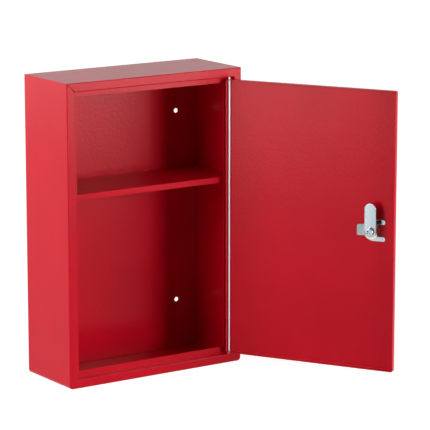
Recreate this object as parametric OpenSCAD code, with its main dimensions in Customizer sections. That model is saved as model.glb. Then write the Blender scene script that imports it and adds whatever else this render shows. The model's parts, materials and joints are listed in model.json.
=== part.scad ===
// Lockable sheet steel medicine cabinet, shown with its door open.
// The origin is the middle of the underside, the front faces -Y and +Z is up.

/* [Body] */
// Outer width of the body
body_w = 215; // [190:1:260]
// Outer height of the body
body_h = 320; // [280:1:380]
// Outer depth of the body
body_d = 86; // [70:1:130]
// Thickness of the body sheet
sheet_t = 0.8; // [0.6:0.05:1]
// Outer radius of the sharp bends in the body sheet
bend_r = 1.1; // [1.1:0.05:1.4]
// Outer radius of the two bottom corners
corner_r = 4; // [2:0.1:5]
// Width of the front face all round the door
face_w = 9.4; // [8:0.1:12]
// Depth from the front face to the stop ledge
rebate_d = 8.8; // [8.6:0.1:12]
// How far the stop ledge reaches into the door opening
ledge_w = 6.8; // [5:0.1:9]
// Width of the rear flange that carries the back panel
rear_w = 12; // [8:0.5:18]
// Width of the open mitre slot in the top left corner of the front face
mitre_gap = 0.9; // [0.2:0.1:1.2]

/* [Wall holes] */
// Diameter of the holes for the wall screws
wall_hole_d = 5; // [3.5:0.1:7]
// Distance between the wall holes across the back
wall_hole_dx = 160; // [120:1:165]
// Distance between the wall holes up the back
wall_hole_dz = 210; // [160:1:240]

/* [Shelf] */
// Height of the top of the shelf above the underside
shelf_z = 202.6; // [170:0.1:220]
// Thickness of the shelf sheet
shelf_t = 0.8; // [0.6:0.05:1]
// Depth of the folded edges of the shelf
shelf_lip = 6.5; // [5:0.1:12]
// Outer radius of the corners of the shelf
shelf_corner_r = 4; // [1.6:0.1:6]
// Gap between the stop ledge and the front edge of the shelf
shelf_front_gap = 0.8; // [0.3:0.1:3]

/* [Door] */
// Angle at which the door stands open
open_angle = 120; // [0:1:120]
// Thickness of the door sheet
door_t = 0.8; // [0.6:0.05:0.95]
// Overall depth of the door with its folded edges
door_depth = 6.4; // [5.6:0.1:7.2]
// Outer radius of the bends round the door
door_bend_r = 1.2; // [1.1:0.05:1.5]
// Outer radius of the four corners of the door
door_corner_r = 2; // [1.6:0.1:4]
// Gap between the door and the frame on the lock side
door_side_gap = 1.5; // [1:0.1:3]
// Gap between the door and the frame at the top
door_top_gap = 2.5; // [1.5:0.1:4]
// How far the closed door sits behind the front face
door_recess = 1; // [0:0.1:1.2]

/* [Hinge] */
// Diameter of the hinge rod
rod_d = 2.2; // [2:0.1:2.4]
// Distance from the rod to the side of the door opening
rod_inset = 3.9; // [3.8:0.1:5]
// Outer diameter of the washer under the door
hinge_washer_d = 3.2; // [3.2:0.1:3.8]
// Height of the washer under the door, which sets the gap at the bottom
hinge_washer_h = 1.4; // [0.8:0.1:2]

/* [Lock] */
// Distance from the lock to the free edge of the door
lock_edge = 25; // [23:0.5:30]
// Diameter of the lock housing
housing_d = 16; // [15:0.1:18]
// Distance between the two flats of the housing
housing_flats = 13; // [12.6:0.1:14]
// Diameter of the neck that the clip grips
neck_d = 13; // [12.6:0.1:13.6]
// Diameter of the round face of the lock
bezel_d = 20; // [19:0.1:24]
// Thickness of the round face of the lock
bezel_t = 2.2; // [1.6:0.1:4]
// Diameter of the plug
plug_d = 9.4; // [9.2:0.1:10]
// Width across the square tail of the plug
tail_w = 6.2; // [5.8:0.1:6.4]
// Width of the keyway
keyway_w = 2.2; // [1.6:0.1:2.4]
// Length of the keyway across the plug
keyway_h = 6.4; // [5.6:0.1:6.8]
// Number of wafers in the plug
wafer_n = 4;
// Thickness of each wafer
wafer_t = 1; // [0.8:0.05:1.1]
// Distance from one wafer to the next
wafer_pitch = 1.45; // [1.4:0.05:1.5]
// Width of the cam
cam_w = 12.8; // [11:0.1:15]
// Distance from the lock axis to the tip of the cam
cam_reach = 29.8; // [28:0.1:31]
// Thickness of the cam
cam_t = 1.8; // [1.5:0.1:2.5]
// Gap between the locked cam and the stop ledge
cam_play = 0.6; // [0.3:0.1:1.5]
// Thickness of the stop washer
stop_t = 0.8; // [0.6:0.1:1]
// Angle through which the plug turns
lock_turn = 90; // [60:5:90]

/* [Clip] */
// Thickness of the spring clip
clip_t = 1; // [0.8:0.05:1.2]
// Outer radius of the round end of the clip
clip_r = 11.4; // [10.6:0.1:12]
// Distance from the lock axis to the tips of the prongs
prong_reach = 13.5; // [12:0.1:15]
// Length of the bent-up tab
tab_l = 8.6; // [6:0.1:9]
// Height of the bent-up tab
tab_h = 12; // [9:0.1:13]
// Angle at which the tab is bent up
tab_angle = 30; // [10:1:35]
// Radius of the two free corners of the tab
tab_corner_r = 1.8; // [1:0.1:3]

/* [Cam screw] */
// Diameter of the screw
screw_d = 5; // [4:0.1:5]
// Diameter of the head of the screw
head_d = 8.8; // [8:0.1:10]
// Height of the head of the screw
head_h = 3.2; // [2.6:0.1:4]
// Outer diameter of the toothed washer
washer_d = 10; // [9.4:0.1:11]
// Thickness of the toothed washer
washer_t = 0.6; // [0.4:0.1:1]

/* [Hidden] */
$fn = 64;

// Clearances: eps only pushes a cutter through a face.
eps = 0.5;
run_clear = 0.06;
rod_hole_clear = 0.05;
seat_clear = 0.1;
spring_clear = 0.05;

// The body, measured from its left side, its front face and its underside.
left_x = -body_w / 2;
front_y = -body_d / 2;
bend_in = bend_r - sheet_t;
opening_w = body_w - 2 * face_w;
opening_h = body_h - 2 * face_w;
ledge_back = rebate_d + sheet_t;
back_y = front_y + body_d - 2 * sheet_t;
back_edge = bend_r + seat_clear;

// The hinge: the rod touches neither the panel nor the return of the door.
rod_r = rod_d / 2;
axis_d = door_t + seat_clear + rod_r;
axis_x = body_w / 2 - face_w - rod_inset;
axis_y = front_y + door_recess + axis_d;
rod_bottom = sheet_t;
rod_top = body_h - sheet_t - seat_clear;

// The closed door, measured from the rod axis towards its free edge.
door_gap_z = hinge_washer_h + run_clear;
door_hinge_end = axis_d;
door_free_end = axis_x - left_x - face_w - door_side_gap;
door_w = door_hinge_end + door_free_end;
door_h = opening_h - door_top_gap - door_gap_z;
door_z = face_w + door_gap_z;
door_bore_l = door_corner_r + 2 * eps;

// The lock: its depths count inwards from the outer face of the door.
lock_u = door_free_end - lock_edge;
lock_z = body_h / 2;
cam_front = ledge_back + cam_play - door_recess;
cam_back = cam_front + cam_t;
stop_front = cam_front - stop_t;
housing_back = stop_front - seat_clear;
tail_back = cam_back - seat_clear;
plug_face = -bezel_t + 0.4;
collar_d = plug_d + 2.2;
collar_l = 1.2;
bore_d = plug_d + 2 * run_clear;
washer_back = cam_back + washer_t;

// The stop: a lug on the washer runs between two walls of the housing.
lug_angle = 30;
lug_play = 2;
stop_wall_in = 5.9;
stop_washer_r = stop_wall_in - seat_clear;
lug_r = housing_flats / 2;

// The wafers, counted from the face of the door inwards.
wafer_s = 0.3;
wafer_w = plug_d * 0.57;
wafer_h = plug_d - 0.1;
wafer_slot_t = wafer_t + 0.1;
wafer_slot_w = wafer_w + 0.2;
wafer_groove = 0.8;
window_h = keyway_h - 0.2;
spring_wire = 0.2;
spring_d = wafer_t;
spring_turns = 5;
spring_l = 3;
spring_z = -2.1;
lug_z = spring_z + spring_l + spring_wire + 2 * spring_clear;
lug_w = spring_d + 0.1;
lug_h = 0.8;
pocket_x = wafer_w / 2;
pocket_w = lug_w + 0.2;
pocket_bottom = spring_z - spring_wire / 2 - spring_clear;
pocket_top = lug_z + lug_h + 0.3;
key_depth = wafer_s + (wafer_n - 1) * wafer_pitch + wafer_slot_t;

// The screw stops short of the keyway by a web of metal.
screw_web = 0.4;
screw_hole_bottom = key_depth + screw_web;
screw_l = washer_back - screw_hole_bottom - seat_clear;

// The clip lies behind the door sheet in the neck of the housing.
clip_front = door_t + 0.02;
clip_in = neck_d / 2 + run_clear;
prong_w = clip_r - clip_in;
neck_l = clip_t + 0.1;
dimple_d = 1.8;
dimple_depth = 0.3;

red = "firebrick";
dark_red = "darkred";
zinc = "silver";

// Profile of one side of the body: x runs inwards from the outer face and
// y runs back from the front face.
module quarter_ring(cx, cy, r_out, r_in, sx, sy) {
    translate([cx, cy])
        intersection() {
            difference() {
                circle(r = r_out);
                circle(r = r_in);
            }
            translate([sx < 0 ? -r_out : 0, sy < 0 ? -r_out : 0])
                square(r_out);
        }
}

module side_profile() {
    quarter_ring(bend_r, bend_r, bend_r, bend_in, -1, -1);
    translate([0, bend_r])
        square([sheet_t, body_d - 2 * bend_r]);
    quarter_ring(bend_r, body_d - bend_r, bend_r, bend_in, -1, 1);
    translate([bend_r, body_d - sheet_t])
        square([rear_w - bend_r, sheet_t]);
    translate([bend_r, 0])
        square([face_w - 2 * bend_r, sheet_t]);
    quarter_ring(face_w - bend_r, bend_r, bend_r, bend_in, 1, -1);
    translate([face_w - sheet_t, bend_r])
        square([sheet_t, rebate_d - bend_in - bend_r]);
    quarter_ring(face_w + bend_in, rebate_d - bend_in, bend_r, bend_in, -1, 1);
    translate([face_w + bend_in, rebate_d])
        square([ledge_w - bend_in, sheet_t]);
}

// The part of the profile that turns round a bottom corner.
module corner_profile() {
    translate([corner_r, 0])
        mirror([1, 0])
            intersection() {
                side_profile();
                square([corner_r, body_d]);
            }
}

// A straight side with mitred ends, lying along the underside from x = 0 to
// the given length.
module mitred_side(length) {
    half = length / 2;
    intersection() {
        rotate([90, 0, 90])
            linear_extrude(length)
                mirror([1, -1])
                    side_profile();
        translate([0, body_d, 0])
            rotate([90, 0, 0])
                linear_extrude(body_d)
                    polygon([[0, 0], [length, 0], [half, half]]);
    }
}

module upright_side() {
    translate([0, 0, body_h])
        rotate([0, 90, 0])
            mitred_side(body_h);
}

module corner_block() {
    translate([-eps, -eps, -eps])
        cube([corner_r + eps, body_d + 2 * eps, corner_r + eps]);
}

module round_corner() {
    translate([corner_r, body_d, corner_r])
        rotate([90, 0, 0])
            rotate([0, 0, 180])
                mirror([0, 0, 1])
                    translate([0, 0, -body_d])
                        rotate_extrude(angle = 90)
                            corner_profile();
}

// Places a shape that starts at the lower left front corner of the body.
module from_corner() {
    translate([left_x, front_y, 0])
        children();
}

module at_rod() {
    translate([axis_x, axis_y, 0])
        children();
}

// The two hinge holes go through the floor and the roof of the rebate.
module rod_holes() {
    hole_r = rod_r + rod_hole_clear;
    for (z = [face_w - sheet_t, body_h - face_w])
        at_rod()
            translate([0, 0, z - eps / 2])
                cylinder(r = hole_r, h = sheet_t + eps);
}

// The slot follows the mitre of the top left corner through the front face.
module mitre_slot() {
    slot_l = face_w * sqrt(2);
    translate([left_x, front_y - eps, body_h])
        rotate([0, 45, 0])
            translate([0.8, 0, -mitre_gap / 2])
                cube([slot_l - 0.8, bend_r + eps, mitre_gap]);
}

module body_shell() {
    color(red)
        difference() {
            from_corner()
                union() {
                    difference() {
                        union() {
                            upright_side();
                            mitred_side(body_w);
                            translate([body_w, 0, 0])
                                mirror([1, 0, 0])
                                    upright_side();
                        }
                        corner_block();
                        translate([body_w, 0, 0])
                            mirror([1, 0, 0])
                                corner_block();
                        top_strip_space();
                    }
                    round_corner();
                    translate([body_w, 0, 0])
                        mirror([1, 0, 0])
                            round_corner();
                }
            rod_holes();
            mitre_slot();
        }
}

// Everything over the two top mitres belongs to the top panel.
module top_strip_space() {
    half = body_w / 2;
    translate([0, body_d + eps, 0])
        rotate([90, 0, 0])
            linear_extrude(body_d + 2 * eps)
                polygon([[0, body_h], [half, body_h - half], [body_w, body_h],
                    [body_w, body_h + eps], [0, body_h + eps]]);
}

module top_panel() {
    color(red)
        difference() {
            from_corner()
                translate([0, 0, body_h])
                    mirror([0, 0, 1])
                        mitred_side(body_w);
            rod_holes();
            mitre_slot();
        }
}

module back_panel() {
    panel_w = body_w - 2 * back_edge;
    panel_h = body_h - 2 * back_edge;
    r = corner_r - sheet_t;
    color(dark_red)
        difference() {
            translate([-panel_w / 2, back_y + sheet_t, back_edge])
                rotate([90, 0, 0])
                    linear_extrude(sheet_t) {
                        translate([0, r])
                            square([panel_w, panel_h - r]);
                        translate([r, 0])
                            square([panel_w - 2 * r, r]);
                        for (x = [r, panel_w - r])
                            translate([x, r])
                                circle(r = r);
                    }
            for (sx = [-1, 1], sz = [-1, 1])
                translate([sx * wall_hole_dx / 2, back_y - eps, body_h / 2 + sz * wall_hole_dz / 2])
                    rotate([-90, 0, 0])
                        cylinder(d = wall_hole_d, h = sheet_t + 2 * eps);
        }
}

// A folded pan: its panel lies at z = 0, its returns rise to the given depth,
// and it spans [0, 0] to [w, h].
module pan_edge(t, depth, r_bend, r_corner) {
    flat = r_corner - r_bend;
    square([flat, t]);
    quarter_ring(flat, r_bend, r_bend, r_bend - t, 1, -1);
    translate([r_corner - t, r_bend])
        square([t, depth - r_bend]);
}

module pan_side(length, t, depth, r_bend, r_corner) {
    translate([0, length, 0])
        rotate([90, 0, 0])
            linear_extrude(length)
                pan_edge(t, depth, r_bend, r_corner);
}

module pan(w, h, depth, t, r_bend, r_corner) {
    r = r_corner;
    translate([r, r, 0])
        cube([w - 2 * r, h - 2 * r, t]);
    for (c = [[w - r, h - r, 0, h], [r, h - r, 90, w], [r, r, 180, h], [w - r, r, 270, w]])
        translate([c[0], c[1], 0])
            rotate([0, 0, c[2]]) {
                rotate_extrude(angle = 90)
                    pan_edge(t, depth, r_bend, r_corner);
                translate([0, 2 * r - c[3], 0])
                    pan_side(c[3] - 2 * r, t, depth, r_bend, r_corner);
            }
}

module shelf() {
    shelf_w = body_w - 2 * sheet_t;
    y0 = front_y + ledge_back + shelf_front_gap;
    color(red)
        translate([-shelf_w / 2, back_y, shelf_z])
            rotate([180, 0, 0])
                pan(shelf_w, back_y - y0, shelf_lip, shelf_t, bend_r, shelf_corner_r);
}

module hinge_rod() {
    color(zinc)
        at_rod()
            translate([0, 0, rod_bottom])
                cylinder(d = rod_d, h = rod_top - rod_bottom);
}

module hinge_washer() {
    color("white")
        at_rod()
            translate([0, 0, face_w])
                difference() {
                    cylinder(d = hinge_washer_d, h = hinge_washer_h);
                    translate([0, 0, -eps])
                        cylinder(r = rod_r + rod_hole_clear, h = hinge_washer_h + 2 * eps);
                }
}

// Swings what is drawn for the closed door to where it stands open.
module on_door() {
    translate([axis_x, axis_y, 0])
        rotate([0, 0, open_angle])
            translate([-axis_x, -axis_y, 0])
                children();
}

// The lock's own frame: +Z runs inwards from the outer face of the door,
// +X towards the free edge and +Y up.
module on_lock() {
    on_door()
        translate([axis_x - lock_u, front_y + door_recess, lock_z])
            rotate([-90, 0, 0])
                rotate([0, 0, 180])
                    children();
}

module double_d(d, flats, h) {
    intersection() {
        cylinder(d = d, h = h);
        translate([-flats / 2, -d / 2 - eps, -eps])
            cube([flats, d + 2 * eps, h + 2 * eps]);
    }
}

module door_pan() {
    color(red)
        difference() {
            on_door()
                translate([axis_x + door_hinge_end - door_w, front_y + door_recess, door_z + door_h])
                    rotate([-90, 0, 0])
                        pan(door_w, door_h, door_depth, door_t, door_bend_r, door_corner_r);
            for (z = [door_z - eps, door_z + door_h + eps - door_bore_l])
                at_rod()
                    translate([0, 0, z])
                        cylinder(r = rod_r + run_clear, h = door_bore_l);
            on_lock()
                translate([0, 0, -eps])
                    double_d(housing_d + 2 * seat_clear, housing_flats + 2 * seat_clear, door_t + 2 * eps);
        }
}

// A flat ring sector that starts at the given angle.
module sector(r_out, r_in, start, angle, h) {
    rotate([0, 0, start])
        rotate_extrude(angle = angle)
            translate([r_in, 0])
                square([r_out - r_in, h]);
}

// The lug stands at the top when the cam does, and turns with it to the free edge.
lug_start = 90 - lug_angle / 2;
wall_start = lug_start + lug_angle + lug_play;
wall_angle = 360 - lug_angle - lock_turn - 2 * lug_play;

module lock_housing() {
    bezel_edge = 0.8;
    color(zinc)
        on_lock()
            difference() {
                union() {
                    translate([0, 0, -bezel_t + bezel_edge])
                        cylinder(d = bezel_d, h = bezel_t - bezel_edge);
                    translate([0, 0, -bezel_t])
                        cylinder(d1 = bezel_d - 2 * bezel_edge, d2 = bezel_d, h = bezel_edge);
                    double_d(housing_d, housing_flats, door_t);
                    cylinder(d = neck_d, h = housing_back);
                    translate([0, 0, clip_front + neck_l])
                        double_d(housing_d, housing_flats, housing_back - clip_front - neck_l);
                    translate([0, 0, housing_back])
                        sector(lug_r, stop_wall_in, wall_start, wall_angle, stop_t);
                }
                translate([0, 0, -bezel_t - eps])
                    cylinder(d = bore_d, h = housing_back + bezel_t + 2 * eps);
                translate([0, 0, -bezel_t - eps])
                    cylinder(d = collar_d + 2 * run_clear, h = eps + 0.4 + collar_l + run_clear);
                translate([-wafer_slot_w / 2, -plug_d / 2 - wafer_groove, plug_face + collar_l])
                    cube([wafer_slot_w, plug_d + 2 * wafer_groove, key_depth - plug_face - collar_l]);
            }
}

module lock_plug() {
    color(zinc)
        on_lock()
            difference() {
                union() {
                    translate([0, 0, plug_face])
                        cylinder(d = collar_d, h = collar_l);
                    translate([0, 0, plug_face])
                        cylinder(d = plug_d, h = housing_back - plug_face);
                    translate([-tail_w / 2, -tail_w / 2, housing_back - eps])
                        cube([tail_w, tail_w, tail_back - housing_back + eps]);
                }
                translate([-keyway_w / 2, -keyway_h / 2, plug_face - eps])
                    cube([keyway_w, keyway_h, key_depth - plug_face + eps]);
                for (i = [0 : wafer_n - 1])
                    translate([0, 0, wafer_s + i * wafer_pitch]) {
                        translate([-wafer_slot_w / 2, -plug_d, 0])
                            cube([wafer_slot_w, 2 * plug_d, wafer_slot_t]);
                        translate([pocket_x, pocket_bottom, 0])
                            cube([pocket_w, pocket_top - pocket_bottom, wafer_slot_t]);
                    }
                translate([0, 0, screw_hole_bottom])
                    cylinder(d = screw_d, h = tail_back - screw_hole_bottom + eps);
            }
}

// Depth of the front of wafer number i.
function wafer_front(i) = wafer_s + (i - 1) * wafer_pitch + (wafer_slot_t - wafer_t) / 2;

module wafer(i) {
    color("goldenrod")
        on_lock()
            translate([0, 0, wafer_front(i)])
                difference() {
                    union() {
                        intersection() {
                            cylinder(d = wafer_h, h = wafer_t);
                            translate([-wafer_w / 2, -wafer_h, -eps])
                                cube([wafer_w, 2 * wafer_h, wafer_t + 2 * eps]);
                        }
                        translate([pocket_x - eps, lug_z, 0])
                            cube([lug_w + eps, lug_h, wafer_t]);
                    }
                    translate([-keyway_w / 2 - seat_clear, -window_h / 2, -eps])
                        cube([keyway_w + 2 * seat_clear, window_h, wafer_t + 2 * eps]);
                }
}

// The wire of a wafer spring: rings of points along a helix, joined by faces.
spring_steps = 8;
spring_sides = 5;
spring_rings = spring_turns * spring_steps;

function helix_point(k) = let(
        r = (spring_d - spring_wire) / 2,
        a = 360 * k / spring_steps
    ) [r * cos(a), r * sin(a), spring_l * k / spring_rings];

function ring_point(k, j) = let(
        a = 360 * k / spring_steps,
        b = 360 * j / spring_sides,
        out = spring_wire / 2 * cos(b)
    ) helix_point(k) + [out * cos(a), out * sin(a), spring_wire / 2 * sin(b)];

module wafer_spring(i) {
    n = spring_sides;
    points = [for (k = [0 : spring_rings], j = [0 : n - 1]) ring_point(k, j)];
    walls = [for (k = [0 : spring_rings - 1], j = [0 : n - 1], half = [0, 1])
        let(a = k * n + j, b = k * n + (j + 1) % n)
            half == 0 ? [a, b, b + n] : [a, b + n, a + n]];
    caps = [[for (j = [n - 1 : -1 : 0]) j], [for (j = [0 : n - 1]) spring_rings * n + j]];
    color("gainsboro")
        on_lock()
            translate([pocket_x + spring_clear + spring_d / 2, spring_z, wafer_front(i) + wafer_t / 2])
                rotate([-90, 0, 0])
                    polyhedron(points, concat(walls, caps));
}

module stop_washer() {
    color(zinc)
        on_lock()
            translate([0, 0, stop_front])
                difference() {
                    union() {
                        cylinder(r = stop_washer_r, h = stop_t);
                        sector(lug_r, stop_washer_r - 1, lug_start, lug_angle, stop_t);
                    }
                    tail_hole(stop_t);
                }
}

// The square hole that goes over the tail of the plug.
module tail_hole(t) {
    w = tail_w + seat_clear;
    translate([-w / 2, -w / 2, -eps])
        cube([w, w, t + 2 * eps]);
}

module lock_cam() {
    r = cam_w / 2;
    color(zinc)
        on_lock()
            translate([0, 0, cam_front])
                difference() {
                    union() {
                        cylinder(r = r, h = cam_t);
                        translate([-r, 0, 0])
                            cube([cam_w, cam_reach - r, cam_t]);
                        translate([0, cam_reach - r, 0])
                            cylinder(r = r, h = cam_t);
                    }
                    tail_hole(cam_t);
                }
}

module lock_clip() {
    prong_y = (clip_r + clip_in) / 2;
    tab_x = sqrt(pow(clip_r, 2) - pow(tab_h / 2, 2));
    color(zinc)
        on_lock()
            translate([0, 0, clip_front])
                difference() {
                    union() {
                        difference() {
                            cylinder(r = clip_r, h = clip_t);
                            translate([0, -clip_r - eps, -eps])
                                cube([clip_r + eps, 2 * clip_r + 2 * eps, clip_t + 2 * eps]);
                        }
                        for (s = [-1, 1]) {
                            translate([0, s * prong_y - prong_w / 2, 0])
                                cube([prong_reach - prong_w / 2, prong_w, clip_t]);
                            translate([prong_reach - prong_w / 2, s * prong_y, 0])
                                cylinder(d = prong_w, h = clip_t);
                        }
                        translate([-tab_x, 0, 0])
                            rotate([0, tab_angle, 0]) {
                                translate([tab_corner_r - tab_l, -tab_h / 2, 0])
                                    cube([tab_l - tab_corner_r, tab_h, clip_t]);
                                translate([-tab_l, tab_corner_r - tab_h / 2, 0])
                                    cube([tab_l, tab_h - 2 * tab_corner_r, clip_t]);
                                for (s = [-1, 1])
                                    translate([tab_corner_r - tab_l, s * (tab_h / 2 - tab_corner_r), 0])
                                        cylinder(r = tab_corner_r, h = clip_t);
                            }
                        translate([-tab_x - eps, -tab_h / 2, 0])
                            cube([2 * eps + 0.6, tab_h, clip_t]);
                    }
                    translate([0, 0, -eps])
                        cylinder(r = clip_in, h = clip_t + 2 * eps);
                    translate([0, -clip_in, -eps])
                        cube([prong_reach + eps, 2 * clip_in, clip_t + 2 * eps]);
                    for (s = [-1, 1])
                        translate([prong_reach - prong_w / 2, s * prong_y, clip_t - dimple_depth])
                            cylinder(d = dimple_d, h = dimple_depth + eps);
                }
}

module toothed_washer() {
    teeth = 8;
    tooth_w = 1.6;
    hub = washer_d / 2 - 1;
    color(zinc)
        on_lock()
            translate([0, 0, cam_back])
                difference() {
                    union() {
                        cylinder(r = hub, h = washer_t);
                        for (i = [0 : teeth - 1])
                            rotate([0, 0, i * 360 / teeth])
                                translate([0, -tooth_w / 2, 0])
                                    cube([washer_d / 2, tooth_w, washer_t]);
                    }
                    translate([0, 0, -eps])
                        cylinder(d = screw_d + 2 * seat_clear, h = washer_t + 2 * eps);
                }
}

module cam_screw() {
    crown_r = 1.2;
    slot_w = 1.2;
    slot_l = head_d * 0.55;
    slot_depth = 1.6;
    color(zinc)
        on_lock()
            translate([0, 0, washer_back])
                difference() {
                    union() {
                        translate([0, 0, -screw_l])
                            cylinder(d = screw_d - 2 * spring_clear, h = screw_l + eps);
                        rotate_extrude() {
                            square([head_d / 2 - crown_r, head_h]);
                            square([head_d / 2, head_h - crown_r]);
                            translate([head_d / 2 - crown_r, head_h - crown_r])
                                intersection() {
                                    circle(r = crown_r);
                                    square(crown_r);
                                }
                        }
                    }
                    for (a = [45, 135])
                        rotate([0, 0, a])
                            translate([-slot_l / 2, -slot_w / 2, head_h - slot_depth])
                                cube([slot_l, slot_w, slot_depth + eps]);
                }
}

body_shell();
top_panel();
back_panel();
shelf();
hinge_rod();
hinge_washer();
door_pan();
lock_housing();
lock_clip();
lock_plug();
wafer(1);  // wafer_1
wafer(2);  // wafer_2
wafer(3);  // wafer_3
wafer(4);  // wafer_4
wafer_spring(1);  // wafer_spring_1
wafer_spring(2);  // wafer_spring_2
wafer_spring(3);  // wafer_spring_3
wafer_spring(4);  // wafer_spring_4
stop_washer();
lock_cam();
toothed_washer();
cam_screw();
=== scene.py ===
import json
import math

import bpy
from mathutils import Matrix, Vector

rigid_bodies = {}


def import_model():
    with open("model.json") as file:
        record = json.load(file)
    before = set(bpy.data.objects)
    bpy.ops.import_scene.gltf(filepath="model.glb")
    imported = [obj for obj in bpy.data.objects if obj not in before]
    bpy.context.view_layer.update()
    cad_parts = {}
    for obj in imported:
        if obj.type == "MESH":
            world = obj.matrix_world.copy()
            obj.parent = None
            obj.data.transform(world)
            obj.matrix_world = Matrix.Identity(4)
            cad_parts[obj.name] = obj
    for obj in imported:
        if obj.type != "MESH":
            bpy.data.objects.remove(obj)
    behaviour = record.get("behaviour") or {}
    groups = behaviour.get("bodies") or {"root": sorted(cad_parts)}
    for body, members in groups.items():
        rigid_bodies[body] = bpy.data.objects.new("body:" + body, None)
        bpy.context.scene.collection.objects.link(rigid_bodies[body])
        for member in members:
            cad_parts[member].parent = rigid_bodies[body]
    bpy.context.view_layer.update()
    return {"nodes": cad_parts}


for old in list(bpy.data.objects):
    bpy.data.objects.remove(old, do_unlink=True)

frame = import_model()
NODES = frame["nodes"]
MM = 0.001

# Camera, fitted to the outlines of the cabinet in a square frame of 430 pixels.
FRAME_PX = 430.0
SENSOR = 36.0
FOCAL_PX = 2482.9
CAMERA_AT = (-1380.9, -2179.7, 691.0)
YAW = math.radians(34.248)
PITCH = math.radians(11.516)
NEAR_CLIP = 0.05
FAR_CLIP = 60.0

# Colours as written in a picture, 0 to 255: the main one and the one that it clouds into.
RED = ((203, 4, 36), (193, 3, 32))
# The same zinc plating is written in two shades: the lock's is painted darker (painted shade) and the
# rod's is painted lighter (painted light), standing in for how brightly each part is lit.
LOCK_ZINC_PAINTED_DARKER = ((174, 186, 193), (160, 171, 177))
ROD_ZINC_PAINTED_LIGHTER = ((216, 220, 226), (202, 206, 212))
NICKEL = ((222, 216, 204), (206, 198, 184))
BRASS = ((190, 160, 92), (160, 130, 70))
SPRING_STEEL = ((150, 150, 152), (120, 120, 124))
NYLON = ((236, 236, 230), (224, 224, 216))

# Brightness of world and floor, where 1 is white.
AMBIENT = 0.08
OVERHEAD = 0.6
FLOOR_NEAR = 0.86
FLOOR_FRONT = 0.5
FLOOR_BACK = 1.0
FLOOR_GREY = 0.42

# The sky gets darker between these heights of a direction.
SKY_LOW = 0.05
SKY_HIGH = 0.34

# Floor, in metres: half its side, how far it lies under the cabinet, and where its brightness changes.
FLOOR_HALF = 20.0
FLOOR_DROP = 0.0002
GLOW_INNER = 0.3
GLOW_OUTER = 1.2
GLOW_TURN = 0.5

LAMP_COLOUR = (1.0, 0.98, 0.93)

# How a CAD node is softened.
WELD_REACH = 1e-6
FLAT_ANGLE = math.radians(0.5)
EDGE_ANGLE = math.radians(42)
EDGE_SEGMENTS = 2
NORMAL_WEIGHT = 50
SHEET_EDGE = 0.12 * MM
WASHER_EDGE = 0.08 * MM


def make_camera():
    data = bpy.data.cameras.new("camera")
    data.sensor_width = SENSOR
    data.lens = FOCAL_PX / FRAME_PX * SENSOR
    data.clip_start = NEAR_CLIP
    data.clip_end = FAR_CLIP
    cam = bpy.data.objects.new("camera", data)
    bpy.context.scene.collection.objects.link(cam)
    cam.location = Vector(CAMERA_AT) * MM
    look = Vector((math.sin(YAW) * math.cos(PITCH), math.cos(YAW) * math.cos(PITCH), -math.sin(PITCH)))
    cam.rotation_mode = "QUATERNION"
    cam.rotation_quaternion = look.to_track_quat("-Z", "Y")
    bpy.context.scene.camera = cam


def linear(colour):
    """A colour written as in a picture, 0 to 255, as the shader's own values."""
    def one(c):
        c /= 255.0
        return c / 12.92 if c <= 0.04045 else ((c + 0.055) / 1.055) ** 2.4
    return tuple(one(c) for c in colour) + (1.0,)


def put(nt, socket, value):
    """Links value to a socket if it is one itself, and sets it there if it is a constant."""
    if isinstance(value, bpy.types.NodeSocket):
        nt.links.new(value, socket)
    else:
        socket.default_value = value


def map_range(nt, value, source, target, smooth=False):
    """Maps value from the source range to the target range."""
    node = nt.nodes.new("ShaderNodeMapRange")
    if smooth:
        node.interpolation_type = "SMOOTHSTEP"
    put(nt, node.inputs["Value"], value)
    for name, end in zip(("From Min", "From Max", "To Min", "To Max"), source + target):
        put(nt, node.inputs[name], end)
    return node.outputs["Result"]


class Tree:
    """One node material with a principled shader, built call by call."""

    def __init__(self, name):
        self.mat = bpy.data.materials.new(name)
        self.mat.use_nodes = True
        self.nt = self.mat.node_tree
        self.nt.nodes.clear()
        out = self.nt.nodes.new("ShaderNodeOutputMaterial")
        self.bsdf = self.nt.nodes.new("ShaderNodeBsdfPrincipled")
        self.nt.links.new(self.bsdf.outputs["BSDF"], out.inputs["Surface"])
        self.coord = self.nt.nodes.new("ShaderNodeTexCoord").outputs["Object"]
        self.normal = None

    def set(self, **values):
        for key, value in values.items():
            put(self.nt, self.bsdf.inputs[key.replace("_", " ")], value)

    def mapped(self, **values):
        """The object's coordinates with a location or scale of their own."""
        node = self.nt.nodes.new("ShaderNodeMapping")
        put(self.nt, node.inputs["Vector"], self.coord)
        for key, value in values.items():
            node.inputs[key.capitalize()].default_value = value
        return node.outputs["Vector"]

    def noise(self, scale, detail=2.0, roughness=0.5, vector=None):
        node = self.nt.nodes.new("ShaderNodeTexNoise")
        put(self.nt, node.inputs["Vector"], vector or self.coord)
        node.inputs["Scale"].default_value = scale
        node.inputs["Detail"].default_value = detail
        node.inputs["Roughness"].default_value = roughness
        return node.outputs["Fac"]

    def ranged(self, value, target, source=(0.3, 0.7)):
        return map_range(self.nt, value, source, target)

    def cloud(self, colours, scale, detail=3.0, roughness=0.6, vector=None):
        """Base colour that clouds from the first of two colours into the second."""
        amount = self.ranged(self.noise(scale, detail, roughness, vector), (0.0, 1.0))
        node = self.nt.nodes.new("ShaderNodeMix")
        node.data_type = "RGBA"
        put(self.nt, node.inputs["Factor"], amount)
        node.inputs["A"].default_value = linear(colours[0])
        node.inputs["B"].default_value = linear(colours[1])
        self.set(Base_Color=node.outputs["Result"])

    def bump(self, height, distance):
        node = self.nt.nodes.new("ShaderNodeBump")
        node.inputs["Strength"].default_value = 1.0
        node.inputs["Distance"].default_value = distance
        put(self.nt, node.inputs["Height"], height)
        if self.normal:
            put(self.nt, node.inputs["Normal"], self.normal)
        self.normal = node.outputs["Normal"]
        self.set(Normal=self.normal)


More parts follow.
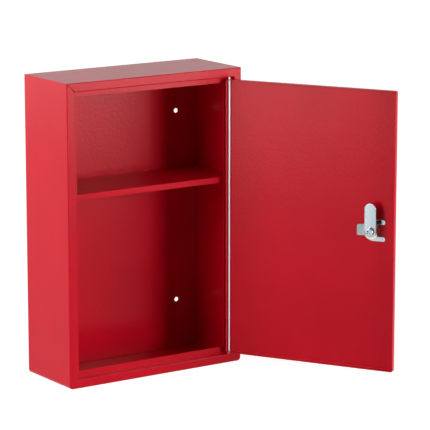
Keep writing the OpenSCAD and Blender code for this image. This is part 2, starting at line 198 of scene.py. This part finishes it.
def powder_coat(name, shift, rough=(0.22, 0.26), specular=0.13):
    """Smooth satin powder coat: pooling of colour, faint handling marks, orange peel and a fine grain."""
    t = Tree(name)
    at = t.mapped(location=(shift, shift * 0.7, shift * 1.3))
    t.cloud(RED, scale=14.0, roughness=0.55, vector=at)
    marks = t.noise(scale=90.0, detail=4.0, roughness=0.6, vector=at)
    t.set(Roughness=t.ranged(marks, rough, source=(0.35, 0.75)))
    t.bump(t.noise(scale=380.0, detail=1.0, roughness=0.4, vector=at), distance=1.2e-4)
    t.bump(t.noise(scale=2100.0, detail=1.0, vector=at), distance=2.5e-6)
    t.set(Specular_IOR_Level=specular)
    return t.mat


def zinc(name, grain, streaks=(1.0, 1.0, 1.0), colours=LOCK_ZINC_PAINTED_DARKER, rough=(0.12, 0.22), depth=2.0e-6):
    """Bright zinc plating over rolled or drawn steel; a small number in streaks draws the grain out."""
    t = Tree(name)
    t.cloud(colours, scale=160.0, vector=t.mapped(scale=streaks))
    t.set(Metallic=1.0)
    lines = t.noise(grain, detail=3.0, roughness=0.6, vector=t.mapped(scale=streaks))
    t.set(Roughness=t.ranged(lines, rough))
    t.bump(lines, depth)
    return t.mat


def nickel(name):
    """Polished nickel plating with fine pits."""
    t = Tree(name)
    t.cloud(NICKEL, scale=220.0, detail=2.0, roughness=0.5)
    t.set(Metallic=1.0)
    pits = t.noise(scale=1500.0, detail=3.0, roughness=0.6)
    t.set(Roughness=t.ranged(pits, (0.14, 0.26)))
    t.bump(pits, distance=1.5e-6)
    return t.mat


def plain_metal(name, colours, grain):
    """Bare metal as it comes from the press or the drawing die."""
    t = Tree(name)
    t.cloud(colours, scale=300.0)
    t.set(Metallic=1.0)
    marks = t.noise(grain, detail=3.0, roughness=0.6)
    t.set(Roughness=t.ranged(marks, (0.25, 0.4)))
    t.bump(marks, distance=3.0e-6)
    return t.mat


def nylon(name):
    """Plain moulded nylon."""
    t = Tree(name)
    t.cloud(NYLON, scale=400.0, detail=2.0, roughness=0.5)
    t.set(Roughness=t.ranged(t.noise(scale=1800.0), (0.38, 0.5)))
    t.bump(t.noise(scale=2400.0), distance=3.0e-6)
    return t.mat


def smooth_group():
    """Geometry nodes that shade every face smooth."""
    group = bpy.data.node_groups.new("shade_smooth", "GeometryNodeTree")
    group.interface.new_socket("Geometry", in_out="INPUT", socket_type="NodeSocketGeometry")
    group.interface.new_socket("Geometry", in_out="OUTPUT", socket_type="NodeSocketGeometry")
    last = group.nodes.new("NodeGroupInput").outputs[0]
    for domain in ("EDGE", "FACE"):
        node = group.nodes.new("GeometryNodeSetShadeSmooth")
        node.domain = domain
        node.inputs["Shade Smooth"].default_value = True
        group.links.new(last, node.inputs["Geometry"])
        last = node.outputs["Geometry"]
    group.links.new(last, group.nodes.new("NodeGroupOutput").inputs[0])
    return group


SMOOTH = smooth_group()


def soften(obj, edge):
    """Rounds the sharp edges of a CAD node and shades it by the area of its faces."""
    weld = obj.modifiers.new("weld", "WELD")
    weld.merge_threshold = WELD_REACH
    flat = obj.modifiers.new("flat", "DECIMATE")
    flat.decimate_type = "DISSOLVE"
    flat.angle_limit = FLAT_ANGLE
    bevel = obj.modifiers.new("bevel", "BEVEL")
    bevel.width = edge
    bevel.segments = EDGE_SEGMENTS
    bevel.limit_method = "ANGLE"
    bevel.angle_limit = EDGE_ANGLE
    bevel.use_clamp_overlap = False
    bevel.miter_outer = "MITER_ARC"
    smooth = obj.modifiers.new("smooth", "NODES")
    smooth.node_group = SMOOTH
    normals = obj.modifiers.new("normals", "WEIGHTED_NORMAL")
    normals.mode = "FACE_AREA"
    normals.weight = NORMAL_WEIGHT
    normals.keep_sharp = False


def dress(node, material, edge=0.0):
    """Gives a CAD node its material and, where edge isn't 0, edges rounded by that width."""
    obj = NODES[node]
    for slot in obj.material_slots:
        slot.material = material
    if edge:
        soften(obj, edge)


def dress_sheets():
    for i, name in enumerate(("body_shell", "top_panel", "back_panel", "door_pan")):
        dress(name, powder_coat("powder_coat_" + name, 0.31 * i), SHEET_EDGE)
    dress("shelf", powder_coat("powder_coat_shelf", 1.7, rough=(0.29, 0.33), specular=0.08), SHEET_EDGE)


def dress_hinge():
    # The rod takes the lighter zinc shade: painted light over the whole rod.
    rod = zinc("zinc_rod", 900.0, (1.0, 1.0, 0.005), ROD_ZINC_PAINTED_LIGHTER, rough=(0.29, 0.34), depth=3.0e-7)
    dress("hinge_rod", rod, 0.2 * MM)
    dress("hinge_washer", nylon("nylon_washer"), 0.1 * MM)


def dress_lock():
    # The lock's zinc parts take the darker zinc shade by default: painted shade.
    dress("lock_cam", zinc("zinc_cam", 900.0, (1.0, 1.0, 0.08)), 0.3 * MM)
    dress("lock_clip", zinc("zinc_clip", 1200.0), 0.15 * MM)
    dress("cam_screw", zinc("zinc_screw", 1500.0), 0.12 * MM)
    dress("toothed_washer", zinc("zinc_washer", 1500.0), WASHER_EDGE)
    dress("stop_washer", zinc("zinc_stop", 1500.0), WASHER_EDGE)
    dress("lock_housing", nickel("nickel_housing"), 0.12 * MM)
    dress("lock_plug", nickel("nickel_plug"), 0.1 * MM)
    brass = plain_metal("brass_wafer", BRASS, 1500.0)
    wire = plain_metal("spring_wire", SPRING_STEEL, 3000.0)
    for i in range(1, 5):
        dress(f"wafer_{i}", brass)
        dress(f"wafer_spring_{i}", wire)


def area_light(name, at, aim, size, radiance):
    """A rectangular soft box; radiance is the brightness of its face, where 1 is white."""
    data = bpy.data.lights.new(name, "AREA")
    data.shape = "RECTANGLE"
    data.size, data.size_y = size
    data.energy = radiance * math.pi * size[0] * size[1]
    data.color = LAMP_COLOUR
    obj = bpy.data.objects.new(name, data)
    bpy.context.scene.collection.objects.link(obj)
    obj.location = Vector(at)
    obj.rotation_mode = "QUATERNION"
    obj.rotation_quaternion = (Vector(aim) - Vector(at)).to_track_quat("-Z", "Y")
    obj.visible_camera = False


def make_lights():
    area_light("side_box", at=(-0.94, -0.12, 0.62), aim=(0, -0.09, 0.26), size=(0.44, 0.50), radiance=7.4)
    area_light("side_low", at=(-0.98, -0.12, 0.22), aim=(0, -0.09, 0.22), size=(0.50, 0.36), radiance=6.0)
    area_light("back_box", at=(-0.85, 1.15, 0.45), aim=(0, 0.1, 0.25), size=(0.9, 0.8), radiance=1.6)
    area_light("front_box", at=(0.90, -1.37, 0.38), aim=(0, 0, 0.22), size=(1.0, 0.7), radiance=10.8)
    area_light("top_box", at=(-0.35, 0.25, 1.5), aim=(0, 0, 0.3), size=(0.7, 0.7), radiance=1.9)


def seen_rays(nt):
    """1 for camera, glossy and transmission rays, 0 for all others."""
    path = nt.nodes.new("ShaderNodeLightPath")
    total = path.outputs["Is Camera Ray"]
    for name in ("Is Glossy Ray", "Is Transmission Ray"):
        node = nt.nodes.new("ShaderNodeMath")
        node.operation = "MAXIMUM"
        nt.links.new(total, node.inputs[0])
        nt.links.new(path.outputs[name], node.inputs[1])
        total = node.outputs["Value"]
    return total


def make_world():
    """White at the horizon and greyer above it where it is seen, and dim as a light."""
    world = bpy.data.worlds.new("studio")
    world.use_nodes = True
    nt = world.node_tree
    back = nt.nodes["Background"]
    back.inputs["Color"].default_value = (1, 1, 1, 1)
    split = nt.nodes.new("ShaderNodeSeparateXYZ")
    nt.links.new(nt.nodes.new("ShaderNodeTexCoord").outputs["Generated"], split.inputs[0])
    sky = map_range(nt, split.outputs["Z"], (SKY_LOW, SKY_HIGH), (1.0, OVERHEAD), smooth=True)
    level = map_range(nt, seen_rays(nt), (0.0, 1.0), (AMBIENT, sky))
    nt.links.new(level, back.inputs["Strength"])
    bpy.context.scene.world = world


def floor_glow(nt):
    """Brightness of the floor by place: near the cabinet, then from the front to the back."""
    place = nt.nodes.new("ShaderNodeTexCoord").outputs["Object"]
    reach = nt.nodes.new("ShaderNodeVectorMath")
    reach.operation = "LENGTH"
    nt.links.new(place, reach.inputs[0])
    backward = nt.nodes.new("ShaderNodeVectorMath")
    backward.operation = "DOT_PRODUCT"
    nt.links.new(place, backward.inputs[0])
    backward.inputs[1].default_value = (0.0, 1.0, 0.0)
    turn = (-GLOW_TURN, GLOW_TURN)
    rim = map_range(nt, backward.outputs["Value"], turn, (FLOOR_FRONT, FLOOR_BACK), smooth=True)
    return map_range(nt, reach.outputs["Value"], (GLOW_INNER, GLOW_OUTER), (FLOOR_NEAR, rim), smooth=True)


def floor_paper():
    mat = bpy.data.materials.new("floor_paper")
    mat.use_nodes = True
    nt = mat.node_tree
    nt.nodes.clear()
    out = nt.nodes.new("ShaderNodeOutputMaterial")
    diffuse = nt.nodes.new("ShaderNodeBsdfDiffuse")
    diffuse.inputs["Color"].default_value = (FLOOR_GREY, FLOOR_GREY, FLOOR_GREY, 1)
    glow = nt.nodes.new("ShaderNodeEmission")
    glow.inputs["Color"].default_value = (1, 1, 1, 1)
    level = nt.nodes.new("ShaderNodeMath")
    level.operation = "MULTIPLY"
    nt.links.new(seen_rays(nt), level.inputs[0])
    nt.links.new(floor_glow(nt), level.inputs[1])
    nt.links.new(level.outputs["Value"], glow.inputs["Strength"])
    both = nt.nodes.new("ShaderNodeAddShader")
    nt.links.new(diffuse.outputs[0], both.inputs[0])
    nt.links.new(glow.outputs[0], both.inputs[1])
    nt.links.new(both.outputs[0], out.inputs["Surface"])
    return mat


def make_floor():
    mesh = bpy.data.meshes.new("floor")
    corners = [(x * FLOOR_HALF, y * FLOOR_HALF, 0) for x, y in ((-1, -1), (1, -1), (1, 1), (-1, 1))]
    mesh.from_pydata(corners, [], [(0, 1, 2, 3)])
    mesh.materials.append(floor_paper())
    floor = bpy.data.objects.new("floor", mesh)
    floor.location.z = -FLOOR_DROP
    bpy.context.scene.collection.objects.link(floor)


make_camera()
dress_sheets()
dress_hinge()
dress_lock()
make_world()
make_floor()
make_lights()
bpy.context.scene.view_settings.view_transform = "Standard"
